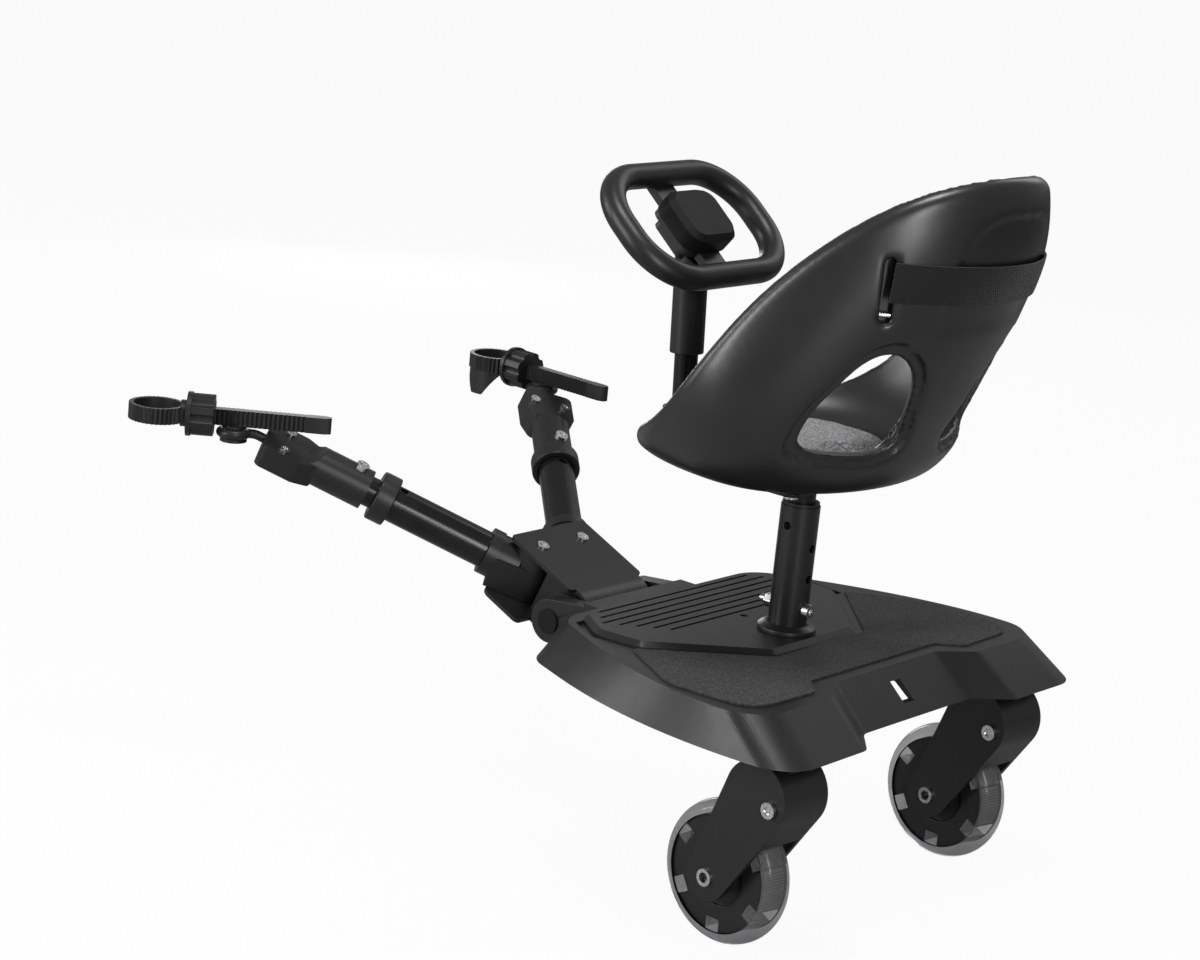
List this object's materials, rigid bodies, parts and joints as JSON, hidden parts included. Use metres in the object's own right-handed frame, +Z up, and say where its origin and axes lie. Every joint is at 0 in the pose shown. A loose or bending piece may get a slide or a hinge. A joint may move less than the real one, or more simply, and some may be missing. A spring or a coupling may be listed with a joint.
{
  "type": "stroller ride-on board",
  "caption": "Ride-on board for a stroller with swivelling sprung casters, bucket seat on a post, toy steering wheel and folding arms with strap clamps.",
  "frame": {"origin": "on the floor under the middle of the whole bounding box", "axes": "+Y forward, towards the stroller; +Z up; +X to the right of someone walking behind the board"},
  "size_m": [0.427, 0.6148, 0.5288],
  "materials": {
    "black_plastic": "moulded matte black",
    "seat_plastic": "satin black",
    "strap_plastic": "flexible black plastic",
    "grip": "speckled grip tape",
    "black_tube": "gloss black",
    "black_rod": "black coated rod",
    "dark_cap": "grey cap",
    "zinc": "bright zinc",
    "spring_steel": "spring steel",
    "cushion": "speckled grey",
    "webbing": "black webbing",
    "clear_tyre": "translucent clear"
  },
  "bodies": {
    "board": {"deck": "black_plastic", "deck_ribs": "black_plastic", "grip_pad": "grip", "hinge_base": "black_plastic", "hinge_pin": "dark_cap", "post_flange": "black_plastic", "outer_post": "black_tube", "post_bush": "black_plastic", "height_bolt": "zinc", "height_nut": "zinc", "inner_post": "black_tube", "seat_plate": "black_tube", "seat_shell": "seat_plastic", "seat_pad": "cushion", "seat_screws": "zinc", "back_belt": "webbing", "column_tube": "black_tube", "column_sleeve": "black_plastic", "hub_bracket": "black_plastic", "steering_spindle": "zinc"},
    "steering_wheel": {"steering_ring": "black_plastic", "hub_cover": "seat_plastic"},
    "front_hinge": {"hinge_bracket": "black_plastic", "cover_plate": "black_plastic", "pivot_screws": "zinc", "pivot_nuts": "zinc"},
    "left_arm": {"left_arm_socket": "black_plastic", "left_outer_tube": "black_tube", "left_tube_collar": "black_plastic"},
    "left_slider": {"left_inner_tube": "black_tube", "left_clamp_head": "black_plastic", "left_head_fasteners": "zinc", "left_rod_eye": "black_rod"},
    "left_strap": {"left_strap": "strap_plastic"},
    "left_nut": {"left_strap_nut": "strap_plastic"},
    "left_caster": {"left_caster_head": "black_plastic", "left_pivot_bolt": "zinc", "left_suspension_spring": "spring_steel"},
    "left_rocker": {"left_caster_fork": "black_plastic", "left_axle": "zinc"},
    "left_wheel": {"left_wheel_core": "black_plastic", "left_tyre": "clear_tyre", "left_wheel_bearings": "zinc"},
    "right_arm": {"right_arm_socket": "black_plastic", "right_outer_tube": "black_tube", "right_tube_collar": "black_plastic"},
    "right_slider": {"right_inner_tube": "black_tube", "right_clamp_head": "black_plastic", "right_head_fasteners": "zinc", "right_rod_eye": "black_rod"},
    "right_strap": {"right_strap": "strap_plastic"},
    "right_nut": {"right_strap_nut": "strap_plastic"},
    "right_caster": {"right_caster_head": "black_plastic", "right_pivot_bolt": "zinc", "right_suspension_spring": "spring_steel"},
    "right_rocker": {"right_caster_fork": "black_plastic", "right_axle": "zinc"},
    "right_wheel": {"right_wheel_core": "black_plastic", "right_tyre": "clear_tyre", "right_wheel_bearings": "zinc"}
  },
  "joints": [
    {"name": "steering_turn", "type": "hinge", "parent": "board", "child": "steering_wheel", "pos_m": [0.01913, -0.03611, 0.44975], "axis": [0, -0.6428, 0.766], "continuous": true},
    {"name": "arm_hinge", "type": "hinge", "parent": "board", "child": "front_hinge", "pos_m": [0.01913, 0.01456, 0.15], "axis": [1, 0, 0], "range_deg": [-28, 65]},
    {"name": "left_arm_swing", "type": "hinge", "parent": "front_hinge", "child": "left_arm", "pos_m": [-0.00377, 0.06327, 0.17088], "axis": [0, -0.3939, 0.9191], "range_deg": [-15, 15]},
    {"name": "left_arm_slide", "type": "slide", "parent": "left_arm", "child": "left_slider", "axis": [-0.6138, 0.6911, 0.3816], "range_m": [-0.0066, 0.05]},
    {"name": "left_strap_swivel", "type": "hinge", "parent": "left_slider", "child": "left_strap", "pos_m": [-0.1547, 0.23401, 0.25634], "axis": [0, 0, 1], "range_deg": [-50, 5]},
    {"name": "left_strap_nut_turn", "type": "hinge", "parent": "left_strap", "child": "left_nut", "pos_m": [-0.16466, 0.24523, 0.26754], "axis": [-0.664, 0.7477, 0], "continuous": true},
    {"name": "left_caster_swivel", "type": "hinge", "parent": "board", "child": "left_caster", "pos_m": [-0.11437, -0.26244, 0.1515], "axis": [0, 0, 1], "continuous": true},
    {"name": "left_caster_rock", "type": "hinge", "parent": "left_caster", "child": "left_rocker", "pos_m": [-0.11495, -0.26902, 0.1138], "axis": [0.9962, -0.0872, 0], "range_deg": [0, 8], "stiffness_Nm_per_rad": 40, "springref_deg": -4.58, "deforming": ["left_suspension_spring"]},
    {"name": "left_wheel_roll", "type": "hinge", "parent": "left_rocker", "child": "left_wheel", "pos_m": [-0.11071, -0.2206, 0.05], "axis": [0.9962, -0.0872, 0], "continuous": true},
    {"name": "right_arm_swing", "type": "hinge", "parent": "front_hinge", "child": "right_arm", "pos_m": [0.04203, 0.06327, 0.17088], "axis": [0, 0.3939, -0.9191], "range_deg": [-15, 15]},
    {"name": "right_arm_slide", "type": "slide", "parent": "right_arm", "child": "right_slider", "axis": [0.6138, 0.6911, 0.3816], "range_m": [0, 0.0565]},
    {"name": "right_strap_swivel", "type": "hinge", "parent": "right_slider", "child": "right_strap", "pos_m": [0.18896, 0.22952, 0.25386], "axis": [0, 0, 1], "range_deg": [-40, 50]},
    {"name": "right_strap_nut_turn", "type": "hinge", "parent": "right_strap", "child": "right_nut", "pos_m": [0.1899, 0.24449, 0.26506], "axis": [0.0629, 0.998, 0], "continuous": true},
    {"name": "right_caster_swivel", "type": "hinge", "parent": "board", "child": "right_caster", "pos_m": [0.15263, -0.26244, 0.1515], "axis": [0, 0, 1], "continuous": true},
    {"name": "right_caster_rock", "type": "hinge", "parent": "right_caster", "child": "right_rocker", "pos_m": [0.15205, -0.26902, 0.1138], "axis": [0.9962, -0.0872, 0], "range_deg": [0, 8], "stiffness_Nm_per_rad": 40, "springref_deg": -4.58, "deforming": ["right_suspension_spring"]},
    {"name": "right_wheel_roll", "type": "hinge", "parent": "right_rocker", "child": "right_wheel", "pos_m": [0.15629, -0.2206, 0.05], "axis": [0.9962, -0.0872, 0], "continuous": true}
  ]
}
